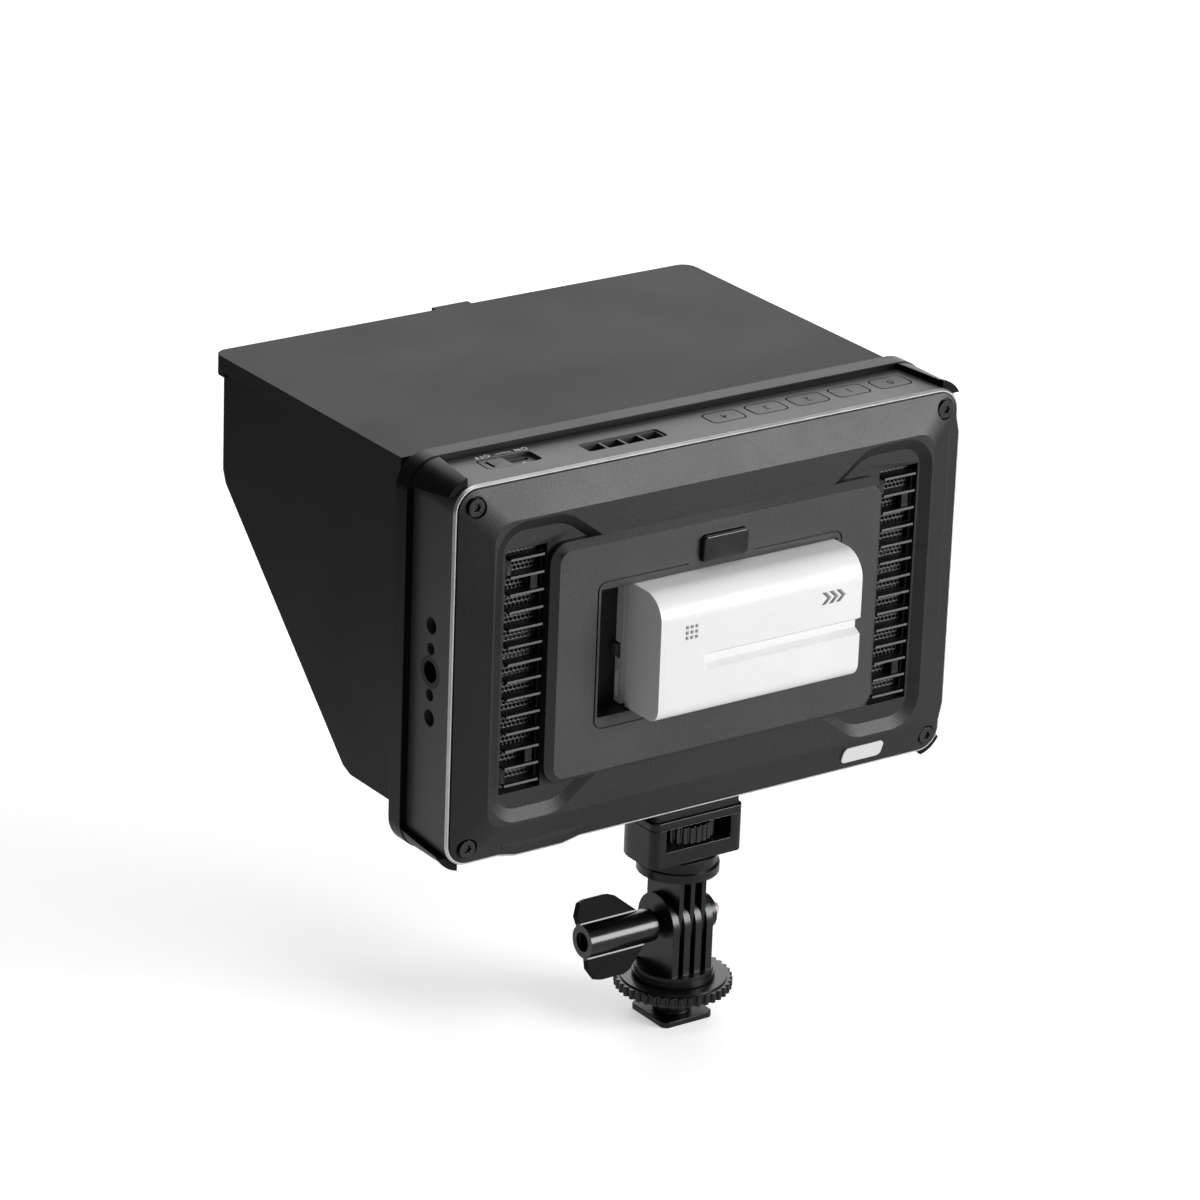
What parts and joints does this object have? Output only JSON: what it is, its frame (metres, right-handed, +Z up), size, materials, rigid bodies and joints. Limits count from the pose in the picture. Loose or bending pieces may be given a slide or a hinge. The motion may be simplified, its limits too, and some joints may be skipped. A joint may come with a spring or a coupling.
{
  "type": "camera field monitor with sun hood",
  "caption": "Camera-top video monitor with a folding sun hood, slide-on battery and tilting shoe mount",
  "frame": {"origin": "centre of the underside of the shoe foot, on the axis of the mount's column", "axes": "+Z up the column, +X along the screen to the right seen from behind, +Y from the back towards the screen and the hood"},
  "size_m": [0.1812, 0.1562, 0.1873],
  "materials": {
    "black_aluminium": "fine matt black anodised aluminium",
    "bright_edge": "bright turned chamfer",
    "cover_black": "fine-textured dark grey plastic",
    "plate_black": "fine-textured dark grey plastic",
    "black_steel": "blackened steel",
    "fin_black": "satin black",
    "mesh_black": "black perforated sheet",
    "contact_black": "black with gilt contacts",
    "button_gloss": "polished black",
    "key_black": "satin black",
    "spring_steel": "drawn wire",
    "latch_grey": "moulded",
    "badge_silver": "satin",
    "light_clear": "clear light pipe",
    "board_green": "solder mask",
    "insert_steel": "turned steel",
    "socket_steel": "folded sheet",
    "socket_black": "moulded",
    "screen_glass": "polished",
    "bezel_black": "printed black",
    "panel_dark": "dark display panel",
    "light_white": "white light box",
    "sink_aluminium": "milled",
    "fan_black": "moulded",
    "battery_white": "satin white",
    "cell_blue": "shrink sleeve",
    "hood_black": "fine matt black",
    "pin_steel": "drawn pin",
    "mount_black": "satin black moulding",
    "foot_black": "blackened metal",
    "bolt_steel": "polished",
    "pad_rubber": "ribbed rubber"
  },
  "bodies": {
    "base": {"shoe_foot": "foot_black", "lower_fork": "mount_black", "pivot_bolt": "bolt_steel", "cap_nut": "bolt_steel"},
    "washer": {"thrust_washer": "foot_black"},
    "locking_wheel": {"lock_wheel": "mount_black"},
    "knob": {"wing_knob": "mount_black"},
    "tilt_head": {"upper_fork": "mount_black", "swivel_screw": "black_steel"},
    "monitor": {"mount_block": "mount_black", "block_cap": "mount_black", "rubber_pad": "pad_rubber", "mid_frame": "black_aluminium", "trim_ring": "bright_edge", "rear_cover": "cover_black", "cover_screws": "black_steel", "vent_grille_left": "fin_black", "vent_grille_right": "fin_black", "vent_mesh_left": "mesh_black", "vent_mesh_right": "mesh_black", "battery_plate": "plate_black", "terminal_block": "contact_black", "release_spring": "spring_steel", "badge": "badge_silver", "switch_body": "contact_black", "status_light": "light_clear", "button_board": "board_green", "side_insert": "insert_steel", "side_block": "cover_black", "base_insert": "insert_steel", "hdmi_sockets": "socket_steel", "power_socket": "socket_black", "front_bezel": "bezel_black", "front_glass": "screen_glass", "lcd_panel": "panel_dark", "backlight": "light_white", "heat_sink": "sink_aluminium", "main_board": "board_green", "fan_frame": "fan_black", "hood_frame": "hood_black", "hood_top_pins": "pin_steel", "wing_left_pins": "pin_steel", "wing_right_pins": "pin_steel"},
    "clamp_screw": {"thumbwheel": "black_steel", "mount_screw": "insert_steel"},
    "release": {"release_button": "button_gloss", "battery_latch": "latch_grey"},
    "switch": {"power_switch": "key_black"},
    "fan": {"fan_rotor": "fan_black"},
    "battery": {"battery_shell": "battery_white", "battery_end_cap": "battery_white", "battery_cells": "cell_blue"},
    "top_flap": {"hood_top": "hood_black"},
    "left_flap": {"hood_wing_left": "hood_black"},
    "right_flap": {"hood_wing_right": "hood_black"},
    "key_1": {"button_1": "key_black"},
    "key_2": {"button_2": "key_black"},
    "key_3": {"button_3": "key_black"},
    "key_4": {"button_4": "key_black"},
    "key_5": {"button_5": "key_black"}
  },
  "joints": [
    {"name": "washer_slide", "type": "slide", "parent": "base", "child": "washer", "axis": [0, 0, -1], "range_m": [0, 0.003]},
    {"name": "locking_wheel_turn", "type": "hinge", "parent": "washer", "child": "locking_wheel", "pos_m": [0, 0, 0], "axis": [0, 0, -1], "range_deg": [0, 850]},
    {"name": "knob_turn", "type": "hinge", "parent": "base", "child": "knob", "pos_m": [0, 0, 0.0308], "axis": [1, 0, 0], "continuous": true},
    {"name": "tilt", "type": "hinge", "parent": "base", "child": "tilt_head", "pos_m": [0, 0, 0.0308], "axis": [1, 0, 0], "range_deg": [-90, 90]},
    {"name": "swivel", "type": "hinge", "parent": "tilt_head", "child": "monitor", "pos_m": [0, 0, 0], "axis": [0, 0, 1], "continuous": true},
    {"name": "clamp_screw_turn", "type": "hinge", "parent": "monitor", "child": "clamp_screw", "pos_m": [0, 0, 0], "axis": [0, 0, 1], "continuous": true},
    {"name": "release_press", "type": "slide", "parent": "monitor", "child": "release", "axis": [0, 1, 0], "range_m": [0, 0.0018], "stiffness_N_per_m": 900, "springref_m": -0.002, "deforming": ["release_spring"]},
    {"name": "switch_slide", "type": "slide", "parent": "monitor", "child": "switch", "axis": [1, 0, 0], "range_m": [0, 0.009]},
    {"name": "key_1_press", "type": "slide", "parent": "monitor", "child": "key_1", "axis": [0, 0, -1], "range_m": [0, 0.0005], "stiffness_N_per_m": 2500, "springref_m": -0.0002},
    {"name": "key_2_press", "type": "slide", "parent": "monitor", "child": "key_2", "axis": [0, 0, -1], "range_m": [0, 0.0005], "stiffness_N_per_m": 2500, "springref_m": -0.0002},
    {"name": "key_3_press", "type": "slide", "parent": "monitor", "child": "key_3", "axis": [0, 0, -1], "range_m": [0, 0.0005], "stiffness_N_per_m": 2500, "springref_m": -0.0002},
    {"name": "key_4_press", "type": "slide", "parent": "monitor", "child": "key_4", "axis": [0, 0, -1], "range_m": [0, 0.0005], "stiffness_N_per_m": 2500, "springref_m": -0.0002},
    {"name": "key_5_press", "type": "slide", "parent": "monitor", "child": "key_5", "axis": [0, 0, -1], "range_m": [0, 0.0005], "stiffness_N_per_m": 2500, "springref_m": -0.0002},
    {"name": "fan_turn", "type": "hinge", "parent": "monitor", "child": "fan", "pos_m": [0.024, -0.009, 0.1215], "axis": [0, 1, 0], "continuous": true},
    {"name": "battery_slide", "type": "slide", "parent": "monitor", "child": "battery", "axis": [-1, 0, 0], "range_m": [0, 0.01]},
    {"name": "top_flap_lift", "type": "hinge", "parent": "monitor", "child": "top_flap", "pos_m": [0, 0.0224, 0.1802], "axis": [1, 0, 0], "range_deg": [0, 90]},
    {"name": "left_flap_fold", "type": "hinge", "parent": "monitor", "child": "left_flap", "pos_m": [-0.0822, 0.0206, 0.1275], "axis": [0, 0, -1], "range_deg": [0, 90]},
    {"name": "right_flap_fold", "type": "hinge", "parent": "monitor", "child": "right_flap", "pos_m": [0.0822, 0.0256, 0.1275], "axis": [0, 0, 1], "range_deg": [0, 90]}
  ],
  "couplings": [
    {"joint": "locking_wheel_turn", "follows": "washer_slide", "rad_per_m": 4945}
  ]
}
